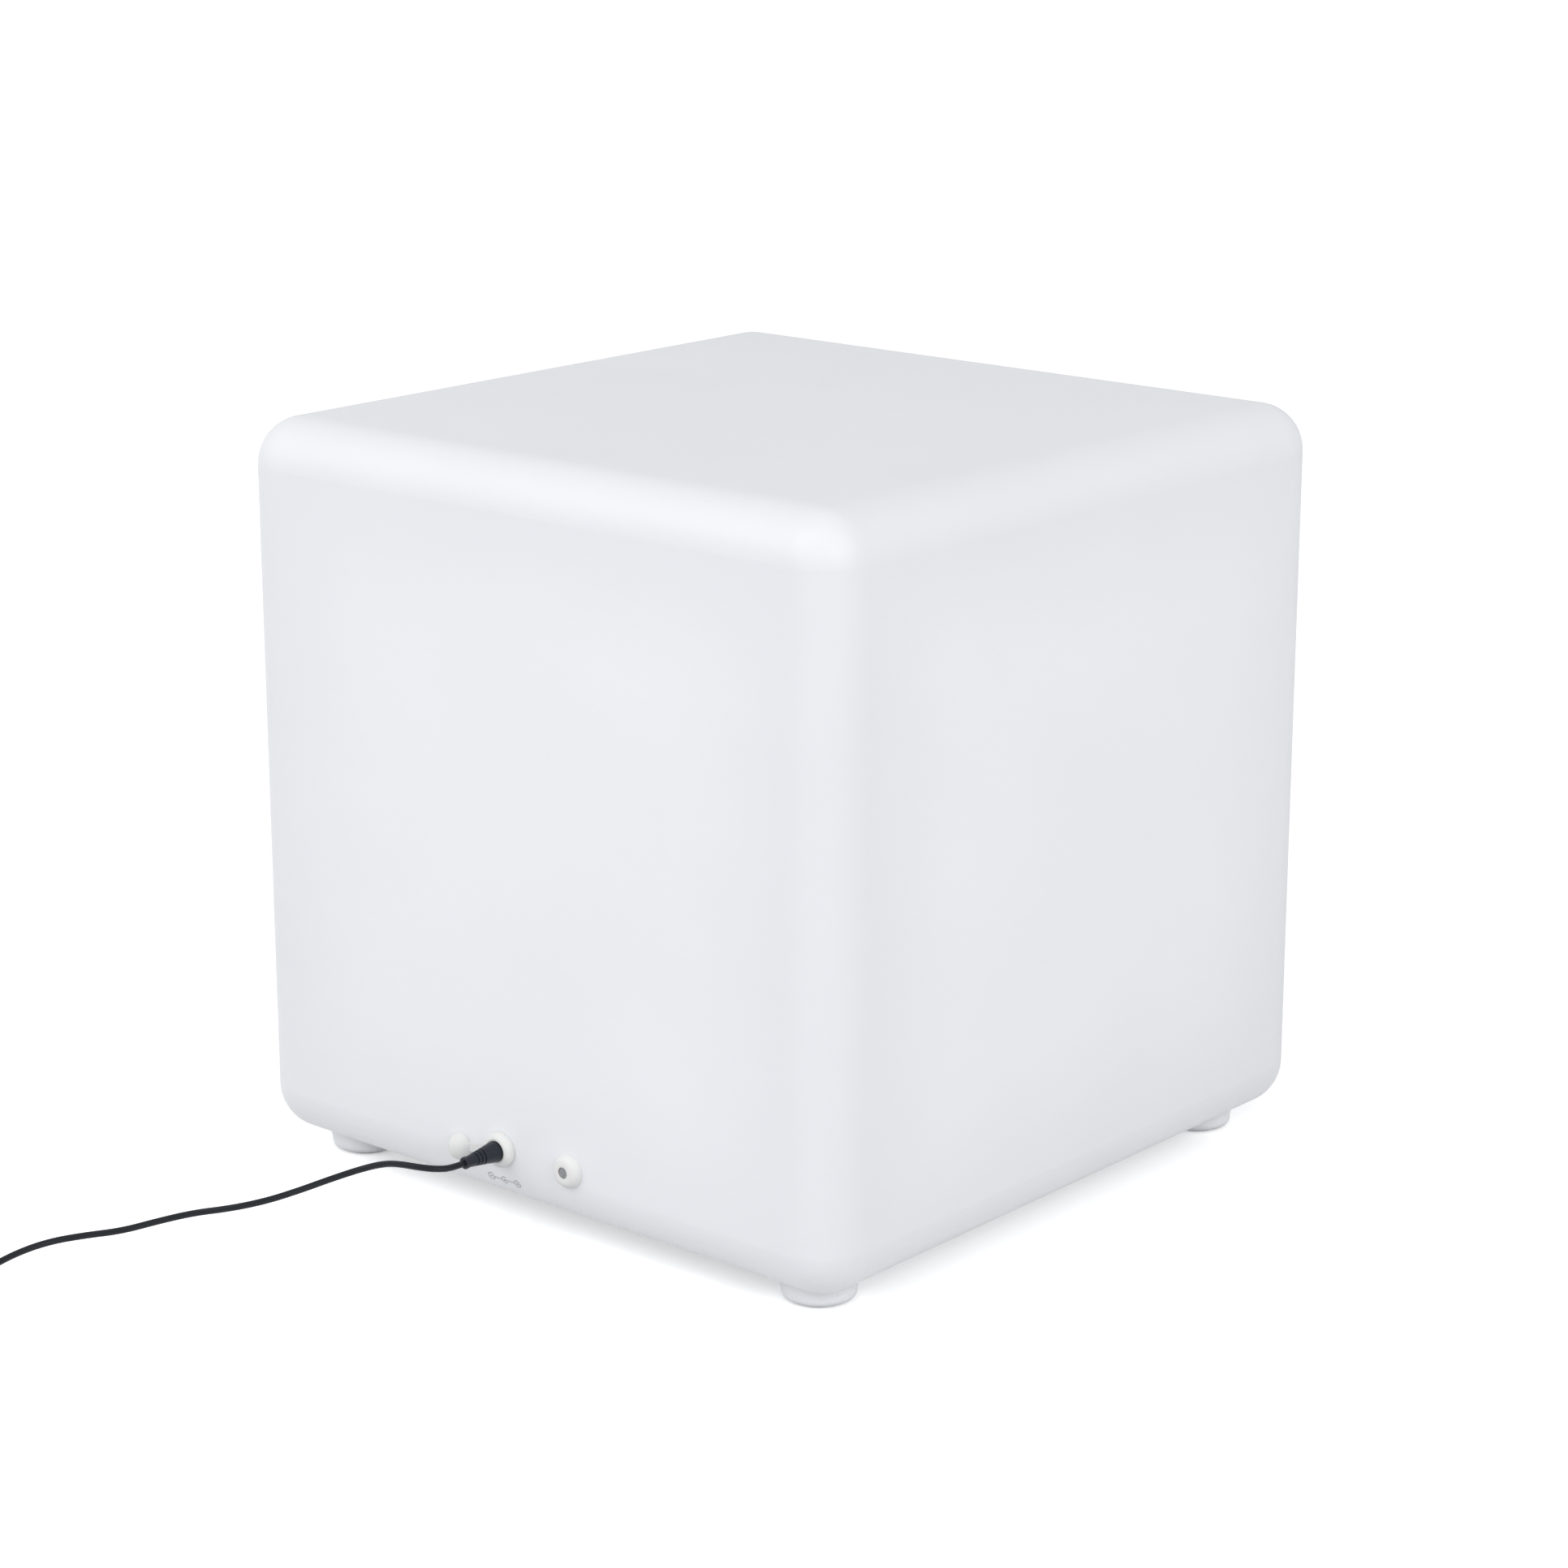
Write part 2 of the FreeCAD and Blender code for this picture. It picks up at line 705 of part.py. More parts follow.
def lamp_lead():
    z = board_top + header_size[2]
    return [disc(side * wire_pitch / 2.0, lead_hole_place, z, lamp_top, wire_radius)
            for side in (-1, 1)]


def battery_lead():
    """Wires from the strip at the cells' flat ends up to the control board."""
    x = -(cell_length / 2.0 + strip_thickness + fit_gap + wire_radius)
    return [disc(x, side * cell_spacing / 2.0, cell_z, board_z, wire_radius) for side in (-1, 1)]


# --- jack and switch ---

def lugs(x):
    """Two solder lugs at the inner end of a jack or switch."""
    y = face_y + body_length
    return [
        block(x + side * wire_pitch / 2.0 - lug_width / 2.0,
              x + side * wire_pitch / 2.0 + lug_width / 2.0, y, y + lug_length,
              service_z - lug_thickness / 2.0, service_z + lug_thickness / 2.0)
        for side in (-1, 1)
    ]


def jack_housing():
    return turned_on_face(jack_x, service_z, [
        (0, -body_length), (barrel_body_radius, -body_length),
        (barrel_body_radius, panel_gasket_thickness), (head_radius, panel_gasket_thickness),
        (head_radius, head_top), (nose_radius, head_top), (nose_radius, nose_stand - lip_height),
        (nose_radius + lip_width, nose_stand - lip_height), (nose_radius + lip_width, nose_stand),
        (bore_radius, nose_stand), (bore_radius, jack_floor), (0, jack_floor),
    ])


def jack_pin():
    """Centre pin of the jack, standing on the floor of its bore."""
    pin = bar_on_face(jack_x, service_z, pin_radius, jack_floor, pin_stand)
    tip = [e for e in pin.Edges if e.BoundBox.YMax < face_y - pin_stand + 1e-6]
    return pin.makeFillet(pin_tip_fillet, tip)


def panel_gaskets():
    return [
        turned_on_face(x, service_z, [
            (panel_hole_radius, 0), (head_radius, 0), (head_radius, panel_gasket_thickness),
            (panel_hole_radius, panel_gasket_thickness)])
        for x in (jack_x, button_x)
    ]


def panel_washers():
    bore = barrel_body_radius + fit_gap
    return [
        turned_on_face(x, service_z, [
            (bore, -body_wall - washer_thickness), (washer_radius, -body_wall - washer_thickness),
            (washer_radius, -body_wall), (bore, -body_wall)])
        for x in (jack_x, button_x)
    ]


def panel_nuts():
    start = -body_wall - washer_thickness
    nuts = []
    for x in (jack_x, button_x):
        bore = barrel_body_radius + fit_gap
        nut = hexagon_on_face(x, service_z, 2 * (bore + nut_wall), start - nut_thickness, start)
        nuts.append(nut.cut(bar_on_face(x, service_z, bore, start - nut_thickness - 1, start + 1)))
    return nuts


def switch_housing():
    bore = button_radius + button_clearance
    return turned_on_face(button_x, service_z, [
        (0, -body_length), (barrel_body_radius, -body_length),
        (barrel_body_radius, panel_gasket_thickness), (head_radius, panel_gasket_thickness),
        (head_radius, head_top), (bore, head_top), (bore, switch_shelf), (switch_bore, switch_shelf),
        (switch_bore, switch_floor - body_length), (0, switch_floor - body_length),
    ])


def button_plunger():
    under = shoulder_top - shoulder_height
    return turned_on_face(button_x, service_z, [
        (0, under - stem_length), (stem_radius, under - stem_length), (stem_radius, under),
        (shoulder_radius, under), (shoulder_radius, shoulder_top), (button_radius, shoulder_top),
        (button_radius, button_stand - button_edge), (button_radius - button_edge, button_stand),
        (0, button_stand),
    ])


def button_spring():
    """Coil spring between the switch's floor and the button's shoulder."""
    low = switch_floor - body_length + spring_wire / 2.0
    high = shoulder_top - shoulder_height - spring_wire / 2.0 - fit_gap
    steps = spring_turns * points_per_turn
    points = []
    for k in range(steps + 1):
        turn = 2 * math.pi * k / points_per_turn
        stand = low + (high - low) * k / steps
        points.append((button_x + spring_radius * math.cos(turn), face_y - stand,
                       service_z + spring_radius * math.sin(turn)))
    return tube(points, spring_wire / 2.0)


def button_boot():
    """Silicone dome over the switch's head, with a round window for the button."""
    hole = button_radius + boot_hole_clearance
    inner = head_radius + fit_gap
    foot_end = (boot_flange_radius - boot_flange_step, boot_flange_height)
    rim = (hole + boot_rim_width, boot_stand)
    roof = (hole, boot_stand - boot_skin)
    eaves = (inner, head_top + fit_gap)
    return turned_on_face(button_x, service_z, [
        (inner, 0), (boot_flange_radius, 0), (boot_flange_radius, boot_flange_height), foot_end,
    ] + bulged(foot_end, rim, boot_bulge) + [
        (hole, boot_stand - boot_rim_chamfer), roof,
    ] + bulged(roof, eaves, -boot_bulge / 2.0))


# --- tethered seal cap ---

def seal_collar():
    """Ring that turns on the jack's nose, held by the nose's lip in its groove."""
    over_head = head_radius + collar_clearance
    bore = nose_radius + collar_clearance
    groove = nose_radius + lip_width + collar_clearance
    groove_low = nose_stand - lip_height - collar_clearance
    groove_high = nose_stand + collar_clearance
    foot_end = (collar_flange_radius - collar_flange_step, collar_flange_height)
    rim = (collar_mouth_radius + collar_rim_width, collar_stand)
    return turned_on_face(jack_x, service_z, [
        (over_head, face_gap), (collar_flange_radius, face_gap),
        (collar_flange_radius, collar_flange_height), foot_end,
    ] + bulged(foot_end, rim, collar_bulge) + [
        (collar_mouth_radius, collar_stand - collar_mouth_chamfer),
        (collar_mouth_radius, groove_high), (groove, groove_high), (groove, groove_low),
        (bore, groove_low), (bore, head_top + collar_clearance),
        (over_head, head_top + collar_clearance),
    ])


def cap_place():
    """Centre of the cap as it hangs beside the jack."""
    droop = math.radians(tether_droop)
    return jack_x - tether_length * math.cos(droop), service_z - tether_length * math.sin(droop)


def cap_dome(x, z):
    """Hollow dome with a stopper inside that closes the jack's bore."""
    rim = face_gap + cap_rim
    inner = cap_radius - cap_wall
    roof, eaves = (stopper_radius, cap_stand - cap_wall), (inner, rim)
    return turned_on_face(x, z, [(0, face_gap), (stopper_radius, face_gap), roof]
                          + bulged(roof, eaves, -cap_bulge)
                          + [(inner, face_gap), (cap_radius, face_gap), (cap_radius, rim)]
                          + crown(cap_radius, rim, cap_stand))


def tether():
    """Flat strap from the collar's flange to the cap's edge, a little narrower at its middle."""
    start = collar_flange_radius - tether_root
    end = tether_length - cap_radius + tether_root
    half = tether_width / 2.0
    waist = tether_waist / 2.0
    middle = (start + end) / 2.0
    corners = [Vector(start, 0, half), Vector(middle, 0, waist), Vector(end, 0, half),
               Vector(end, 0, -half), Vector(middle, 0, -waist), Vector(start, 0, -half)]
    edges = [
        Part.Arc(corners[0], corners[1], corners[2]).toShape(),
        Part.makeLine(corners[2], corners[3]),
        Part.Arc(corners[3], corners[4], corners[5]).toShape(),
        Part.makeLine(corners[5], corners[0]),
    ]
    strap = Part.Face(Part.Wire(edges)).extrude(Vector(0, -tether_thickness, 0))
    strap.rotate(Vector(0, 0, 0), Vector(0, 1, 0), 180 - tether_droop)
    strap.translate(Vector(jack_x, face_y - face_gap, service_z))
    return strap


def tethered_seal_cap():
    return joined(seal_collar(), [tether(), cap_dome(*cap_place())])


# --- charging plug ---

def plug_tube(outer, inner):
    """One of the concentric tubes of the barrel, from its tip into the grip."""
    tip = grip_stand - barrel_length
    return turned_on_face(jack_x, service_z, [
        (inner, tip), (outer, tip), (outer, grip_stand), (inner, grip_stand)])


def plug_grip():
    end = grip_end_stand
    waist = grip_stand + grip_waist_at
    collar = end - grip_collar_length
    taper_end = collar - grip_edge
    grip = turned_on_face(jack_x, service_z, [
        (0, grip_stand), (grip_wide_radius - grip_edge, grip_stand),
        (grip_wide_radius, grip_stand + grip_edge), (grip_waist_radius, waist),
        (grip_end_radius, taper_end), (grip_collar_radius, collar),
        (grip_collar_radius, end - grip_edge), (grip_collar_radius - grip_edge, end), (0, end),
    ])
    grooves = []
    for k in range(grip_ribs):
        at = waist + grip_rib_start + grip_rib_pitch * k
        share = (at - waist) / (taper_end - waist)
        radius = grip_waist_radius + (grip_end_radius - grip_waist_radius) * share
        grooves.append(turned_on_face(jack_x, service_z, [
            (radius - grip_rib_depth, at), (radius + 1, at), (radius + 1, at + grip_rib_width),
            (radius - grip_rib_depth, at + grip_rib_width)]))
    return grip.cut(grooves)


# --- cord, coil and adapter ---

def cord_run():
    exit_y = face_y - grip_end_stand
    start = [(jack_x, exit_y, service_z), (jack_x, exit_y - cord_stub, service_z)]
    end = (coil_x + coil_radius + coil_half - cord_radius, coil_y, coil_base + cord_radius)
    return tube(start + cord_points + [end], cord_radius, "cord_run")


def cord_tail():
    start = (coil_x, coil_y - coil_radius - coil_half + cord_radius, coil_top - cord_radius)
    exit_x = adapter_x + relief_length
    end = [(exit_x + tail_stub, adapter_y, relief_z), (exit_x, adapter_y, relief_z)]
    return tube([start] + tail_points + end, cord_radius, "cord_tail")


def wound_ring():
    """Outer shape of the wound cord, with its middle at x and y of nought."""
    coil = ring(0, 0, coil_base, coil_top, coil_radius + coil_half, coil_radius - coil_half)
    return coil.makeFillet(cord_radius, [e for e in coil.Edges if e.isClosed()])


def cord_coil():
    coil = wound_ring()
    coil.translate(Vector(coil_x, coil_y, 0))
    return coil


def coil_tie():
    """Band round the wound cord, at one place on the coil."""
    half = coil_half + tie_thickness
    band = block(coil_radius - half, coil_radius + half, -tie_width / 2.0, tie_width / 2.0,
                 coil_base - tie_thickness, coil_top + tie_thickness)
    corners = [e for e in band.Edges if abs(e.BoundBox.YLength - tie_width) < 1e-6]
    band = band.makeFillet(cord_radius, corners).cut(wound_ring())
    band.rotate(Vector(0, 0, 0), Vector(0, 0, 1), tie_bearing)
    band.translate(Vector(coil_x, coil_y, 0))
    return band


def adapter_block(inset, z0, z1):
    """Adapter's outline, drawn in by inset, with rounded upright corners."""
    x1, x0 = adapter_x - inset, adapter_x - adapter_length + inset
    half = adapter_width / 2.0 - inset
    box = block(x0, x1, adapter_y - half, adapter_y + half, z0, z1)
    upright = [e for e in box.Edges if abs(e.BoundBox.ZLength - (z1 - z0)) < 1e-6]
    return box.makeFillet(adapter_corner - inset, upright)


def adapter_housing():
    shell = adapter_block(0, 0, adapter_split)
    low = [e for e in shell.Edges if e.BoundBox.ZMax < 1e-6]
    shell = shell.makeFillet(adapter_wall, low)
    shell = shell.cut(adapter_block(adapter_wall, adapter_wall, adapter_split + 1))
    start = Vector(adapter_x - adapter_wall - 1, adapter_y, relief_z)
    seat = Part.makeCylinder(relief_wide_radius + fit_gap, adapter_wall + 2, start, Vector(1, 0, 0))
    return shell.cut(seat).removeSplitter()


def mains_pin_places():
    return [(mains_pin_x, adapter_y + side * mains_pin_spacing / 2.0) for side in (-1, 1)]


def adapter_face():
    shell = adapter_block(0, adapter_split, adapter_height)
    top = [e for e in shell.Edges if e.BoundBox.ZMin > adapter_height - 1e-6]
    shell = shell.makeFillet(adapter_wall, top)
    shell = shell.cut(adapter_block(adapter_wall, adapter_split - 1, adapter_height - adapter_wall))
    base = disc(mains_pin_x, adapter_y, adapter_height - adapter_wall,
                adapter_height + pin_base_height, pin_base_radius)
    shell = joined(shell, [base])
    pockets = [disc(x, y, adapter_height - mains_pin_root, adapter_height + pin_base_height + 1,
                    mains_pin_radius + fit_gap) for x, y in mains_pin_places()]
    return shell.cut(pockets).removeSplitter()


def adapter_pins():
    top = adapter_height + pin_base_height + mains_pin_length
    pins = []
    for x, y in mains_pin_places():
        pin = disc(x, y, adapter_height - mains_pin_root, top, mains_pin_radius)
        tip = [e for e in pin.Edges if e.BoundBox.ZMin > top - 1e-6]
        pins.append(pin.makeFillet(mains_pin_tip, tip))
    return pins


def adapter_strain_relief():
    """Taper where the cord leaves the adapter, with its flange inside the wall."""
    flange_radius = relief_wide_radius + relief_flange
    relief = turned([
        (0, -adapter_wall - relief_flange), (flange_radius, -adapter_wall - relief_flange),
        (flange_radius, -adapter_wall), (relief_wide_radius, -adapter_wall),
        (relief_wide_radius, 0), (relief_end_radius, relief_length), (0, relief_length),
    ])
    relief.rotate(Vector(0, 0, 0), Vector(0, 1, 0), 90)
    relief.translate(Vector(adapter_x, adapter_y, relief_z))
    return relief


def supply_board():
    x = adapter_x - adapter_length / 2.0
    length = adapter_length - 2 * (adapter_wall + supply_end_margin)
    width = adapter_width - 2 * (adapter_wall + supply_side_margin)
    board = centred_block(x, adapter_y, adapter_wall + supply_board_stand,
                          (length, width, board_thickness))
    out_x, out_y = length / 2.0 - supply_leg_inset, width / 2.0 - supply_leg_inset
    legs = [centred_block(x + sx * out_x, adapter_y + sy * out_y, adapter_wall,
                          (supply_leg_side, supply_leg_side, supply_board_stand))
            for sx in (-1, 1) for sy in (-1, 1)]
    return joined(board, legs)


def supply_transformer():
    x = adapter_x - adapter_length / 2.0 + supply_block_shift
    return centred_block(x, adapter_y, adapter_wall + supply_board_stand + board_thickness,
                         supply_block_size)


save("body_shell", body_shell())
for place, (foot_x, foot_y) in zip(("left_front", "left_rear", "right_front", "right_rear"), foot_places):
    save("foot_pad_" + place, foot_pad(foot_x, foot_y))
save("hatch_inserts", hatch_inserts())
save("hatch_gasket", hatch_gasket())
save("base_hatch", base_hatch())
save("hatch_screws", [hatch_screw(x, y) for x, y in around(hatch_screws, hatch_screw_circle)])
save("battery_cradle", battery_cradle())
save("battery_cell_left", battery_cell(-1))
save("battery_cell_right", battery_cell(1))
save("battery_strips", battery_strips())
save("battery_sleeve", battery_sleeve())
save("battery_foam", centred_block(0, 0, foam_z, (foam_length, foam_width, foam_thickness)))
save("control_board", control_board())
save("board_chips", [centred_block(place[0], place[1], board_top, size)
                     for place, size in zip(chip_places, chip_sizes)])
save("remote_receiver", centred_block(receiver_place[0], receiver_place[1], board_top, receiver_size))
save("wire_headers", wire_headers())
save("heat_plate", lamp_plate(plate_z, plate_thickness, plate_radius))
save("lamp_board", lamp_plate(lamp_board_z, board_thickness, plate_radius))
save("lamp_screws", lamp_screws())
save("leds", leds())
save("lamp_cover", lamp_cover())
save("jack_wires", panel_leads(jack_x, jack_wire_points, -header_offset))
save("switch_wires", panel_leads(button_x, switch_wire_points, header_offset))
save("lamp_wires", lamp_lead())
save("battery_wires", battery_lead())
save("jack_housing", jack_housing())
save("jack_pin", jack_pin())
save("jack_lugs", lugs(jack_x))
save("panel_gaskets", panel_gaskets())
save("panel_washers", panel_washers())
save("panel_nuts", panel_nuts())
save("switch_housing", switch_housing())
save("switch_lugs", lugs(button_x))
save("button_boot", button_boot())
save("button_plunger", button_plunger())
save("button_spring", button_spring())
save("tethered_seal_cap", tethered_seal_cap())
save("plug_barrel", plug_tube(barrel_radius, barrel_radius - barrel_wall))
save("plug_insulator", plug_tube(barrel_radius - barrel_wall, contact_radius))
save("plug_contact", plug_tube(contact_radius, pin_radius + pin_clearance))
save("plug_grip", plug_grip())
save("cord_run", cord_run())
save("cord_coil", cord_coil())
save("coil_tie", coil_tie())
save("cord_tail", cord_tail())
save("adapter_housing", adapter_housing())
save("adapter_face", adapter_face())
save("adapter_pins", adapter_pins())
save("adapter_strain_relief", adapter_strain_relief())
save("supply_board", supply_board())
save("supply_transformer", supply_transformer())
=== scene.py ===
"""Look of a rechargeable light cube for the garden or porch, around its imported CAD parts.

Metres, +Z up, in the frame of the CAD. The service face, with the jack and the button, is the
-Y face.
"""
import json
import math

import bmesh
import bpy
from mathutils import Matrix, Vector

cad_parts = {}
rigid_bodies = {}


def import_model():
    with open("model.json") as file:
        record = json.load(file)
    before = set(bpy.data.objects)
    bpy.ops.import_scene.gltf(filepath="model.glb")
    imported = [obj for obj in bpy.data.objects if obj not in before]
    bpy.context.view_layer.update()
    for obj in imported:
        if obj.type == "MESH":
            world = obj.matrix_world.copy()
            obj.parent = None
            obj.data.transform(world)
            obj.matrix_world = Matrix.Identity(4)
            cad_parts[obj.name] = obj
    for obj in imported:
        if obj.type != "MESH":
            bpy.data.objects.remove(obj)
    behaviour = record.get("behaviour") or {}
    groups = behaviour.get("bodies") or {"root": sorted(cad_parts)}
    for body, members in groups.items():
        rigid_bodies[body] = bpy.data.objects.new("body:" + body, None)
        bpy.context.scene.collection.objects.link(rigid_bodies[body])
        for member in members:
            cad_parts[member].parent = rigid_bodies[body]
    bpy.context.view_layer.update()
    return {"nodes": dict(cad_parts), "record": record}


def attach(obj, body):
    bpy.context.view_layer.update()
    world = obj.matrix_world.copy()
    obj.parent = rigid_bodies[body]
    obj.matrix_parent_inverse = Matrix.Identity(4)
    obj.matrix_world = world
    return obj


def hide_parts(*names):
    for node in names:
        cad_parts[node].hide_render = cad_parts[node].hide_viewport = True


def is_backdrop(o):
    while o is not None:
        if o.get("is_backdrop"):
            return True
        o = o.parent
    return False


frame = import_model()

MM = 0.001

# Sizes of the CAD parts that the pieces made here lie on
BODY_HALF = 0.200
BODY_BASE = 0.012
BODY_TOP = 0.400
EDGE_RADIUS = 0.025
CORD_DIAMETER = 0.0034

# The lead's route, point for point as in the CAD source
PLUG_END = (-0.0180, -0.2273, 0.0440)
RUN_POINTS = [
    PLUG_END,
    (-0.0180, -0.2362, 0.0440),
    (-0.0212, -0.2438, 0.0450),
    (-0.0278, -0.2494, 0.0460),
    (-0.0372, -0.2520, 0.0460),
    (-0.0485, -0.2526, 0.0438),
    (-0.0595, -0.2574, 0.0398),
    (-0.0695, -0.2690, 0.0354),
    (-0.0775, -0.2840, 0.0314),
    (-0.0860, -0.3000, 0.0280),
    (-0.0990, -0.3130, 0.0245),
    (-0.1140, -0.3235, 0.0215),
    (-0.1250, -0.3380, 0.0185),
    (-0.1340, -0.3540, 0.0158),
    (-0.1475, -0.3670, 0.0138),
    (-0.1575, -0.3810, 0.0122),
    (-0.1615, -0.3980, 0.0105),
    (-0.1615, -0.4170, 0.0080),
    (-0.1605, -0.4350, 0.0050),
    (-0.1640, -0.4500, 0.0032),
]
TAIL_POINTS = [
    (-0.2010, -0.4868, 0.0090),
    (-0.2120, -0.4885, 0.0080),
    (-0.2240, -0.4900, 0.0110),
    (-0.2380, -0.4900, 0.0110),
]
COIL_CENTRE = (-0.190, -0.463)
COIL_RADIUS = 0.0198
COIL_BASE = 0.0006
# Each turn's place in the bundle, as steps outwards and upwards of one cord diameter
COIL_TURNS = [(1, 0), (0, 0), (-1, 0), (-1, 1), (0, 1), (1, 1), (1, 2), (0, 2), (1, 2)]
POINTS_PER_TURN = 16

# Camera: its place, its angle down from level, its turn about Z, and its lens
CAMERA_PLACE = (1.33247, -1.54837, 0.77121)
CAMERA_DOWN = 0.27370
CAMERA_TURN = 0.71080
LENS_MM = 91.47
SENSOR_MM = 36.0
CLIP_END = 50.0

# Light tent, brighter at its walls than at its roof and brightest in front of the service face.
# Each entry is an axis, its end, and the strengths in the middle and at that end.
TENT = [
    ("Z", 1.0, 0.84, 0.05),
    ("Y", -1.0, 0.0, 0.75),
    ("X", 1.0, 0.0, 0.61),
    ("X", -1.0, 0.0, 0.47),
]

# Square softboxes, each with its place and power, pointed at the middle of the cube
SOFTBOX_SIZE = 1.2
SOFTBOX_AIM = (0, 0, 0.2)
SOFTBOXES = {
    "softbox_left": ((-0.6, -1.6, 1.6), 7.4),
    "softbox_right": ((1.9, -0.6, 1.0), 8.8),
}

# Paper floor: half its edge, and its gain and lift to white where the camera sees it
FLOOR_HALF = 14.0
PAPER_GAIN = 1.1
PAPER_LIFT = 0.33

# Skin of the body: size along the surface and depth of its waves, orange peel and sandy grain
WAVE_LENGTH = 90 * MM
WAVE_DEPTH = 0.5 * MM
PEEL_SIZE = 2.5 * MM
PEEL_DEPTH = 0.02 * MM
SAND_SIZE = 1.5 * MM
SAND_DEPTH = 0.25 * MM
# The sandy grain covers the feet and fades out over this height above the body's base
SAND_FADE = 8 * MM
# Parting line of the mould, low on the sides
PARTING_HEIGHT = 0.0295
PARTING_HALF_WIDTH = 0.8 * MM
PARTING_DEPTH = 0.02 * MM

# Painted glow: emission that stands in for light scattered through the skin. On a side wall it is
# a share of the full strength, and it falls off over the edge distance below towards the wall's
# edges.
PAINTED_GLOW_STRENGTH = 0.08
PAINTED_GLOW_EDGE = 0.100
PAINTED_WALL_GLOW = 0.6
# Painted glow in the lower rounding: a band at full strength, even over its core, gone at its
# reach
BAND_HEIGHT = BODY_BASE + 6 * MM
BAND_CORE = 2 * MM
BAND_REACH = 18 * MM

# Polarity mark: its middle on the service face, and the width and half thickness of its ink
MARK_CENTRE = (-0.0189, 0.0262)
MARK_WIDTH = 0.45 * MM
INK_THICKNESS = 0.06 * MM
# Its lines, in millimetres along the face from that middle, and half the socket's opening in
# degrees
SIGN_OFFSET = 9.2
SIGN_RADIUS = 2.0
SIGN_HALF_STROKE = 0.9
SOCKET_OFFSET = 0.3
SOCKET_RADIUS = 1.9
SOCKET_OPENING = 50
CONTACT_RADIUS = 0.4
MINUS_LINE = (-7.0, -1.9)
PLUS_LINE = (0.9, 7.0)


# --- small helpers ---

def linear(hex_colour):
    """An sRGB hex colour as linear RGBA."""
    channels = [int(hex_colour[i:i + 2], 16) / 255 for i in (1, 3, 5)]
    return [c / 12.92 if c <= 0.04045 else ((c + 0.055) / 1.055) ** 2.4 for c in channels] + [1.0]


def add(tree, kind, inputs=None, **settings):
    """Adds a node with its settings, and with its inputs' values or the sockets linked to them."""
    node = tree.nodes.new(kind)
    for name, value in settings.items():
        setattr(node, name, value)
    for name, value in (inputs or {}).items():
        if isinstance(value, bpy.types.NodeSocket):
            tree.links.new(value, node.inputs[name])
        else:
            node.inputs[name].default_value = value
    return node


def blank_material(name):
    """A material without nodes, and its node tree."""
    material = bpy.data.materials.new(name)
    material.use_nodes = True
    material.node_tree.nodes.clear()
    return material, material.node_tree


def link_piece(name, data, body):
    """Puts a piece made here into the scene, on its body."""
    piece = bpy.data.objects.new(name, data)
    bpy.context.scene.collection.objects.link(piece)
    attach(piece, body)
    return piece


# --- camera, floor and light ---

camera_data = bpy.data.cameras.new("camera")
camera_data.lens = LENS_MM
camera_data.sensor_width = SENSOR_MM
camera_data.clip_end = CLIP_END
camera = bpy.data.objects.new("camera", camera_data)
camera.location = CAMERA_PLACE
camera.rotation_euler = (math.pi / 2 - CAMERA_DOWN, 0.0, CAMERA_TURN)
bpy.context.scene.collection.objects.link(camera)
bpy.context.scene.camera = camera
bpy.context.scene.view_settings.view_transform = "Standard"


def seen_directly(tree):
    """1 for camera, glossy and transmission rays, which see the plain white background."""
    path = add(tree, "ShaderNodeLightPath")
    seen = add(tree, "ShaderNodeMath", {0: path.outputs["Is Camera Ray"],
                                        1: path.outputs["Is Glossy Ray"]}, operation="MAXIMUM")
    return add(tree, "ShaderNodeMath", {0: seen.outputs[0],
                                        1: path.outputs["Is Transmission Ray"]},
               operation="MAXIMUM").outputs[0]


def light_tent():
    """World lit from the tent's walls and roof, in front of a plain white backdrop."""
    world = bpy.data.worlds.new("light_tent")
    world.use_nodes = True
    tree = world.node_tree
    tree.nodes.clear()
    outwards = add(tree, "ShaderNodeTexCoord").outputs["Generated"]
    way = add(tree, "ShaderNodeSeparateXYZ", {0: outwards})
    strength = 0.0
    for axis, end, middle_value, end_value in TENT:
        wall = add(tree, "ShaderNodeMapRange", {"Value": way.outputs[axis], "From Max": end,
                                                "To Min": middle_value, "To Max": end_value})
        strength = add(tree, "ShaderNodeMath", {0: wall.outputs[0], 1: strength}).outputs[0]
    tent = add(tree, "ShaderNodeBackground", {"Color": linear("#FCFDFF"), "Strength": strength})
    backdrop = add(tree, "ShaderNodeBackground", {"Color": linear("#FFFFFF"), "Strength": 1.0})
    mixed = add(tree, "ShaderNodeMixShader",
                {0: seen_directly(tree), 1: tent.outputs[0], 2: backdrop.outputs[0]})
    add(tree, "ShaderNodeOutputWorld", {"Surface": mixed.outputs[0]})
    return world


def seamless_paper():
    """Matt paper: plain for light, lifted to white where the camera sees it, so that only the
    shadow at the object shows on it."""
    material, tree = blank_material("seamless_paper")
    matt = add(tree, "ShaderNodeBsdfDiffuse", {"Color": linear("#ABABAC")})
    bright = add(tree, "ShaderNodeBsdfDiffuse", {"Color": (PAPER_GAIN,) * 3 + (1.0,)})
    lift = add(tree, "ShaderNodeEmission", {"Color": linear("#FFFFFF"), "Strength": PAPER_LIFT})
    lifted = add(tree, "ShaderNodeAddShader", {0: bright.outputs[0], 1: lift.outputs[0]})
    mixed = add(tree, "ShaderNodeMixShader",
                {0: seen_directly(tree), 1: matt.outputs[0], 2: lifted.outputs[0]})
    add(tree, "ShaderNodeOutputMaterial", {"Surface": mixed.outputs[0]})
    return material


bpy.context.scene.world = light_tent()

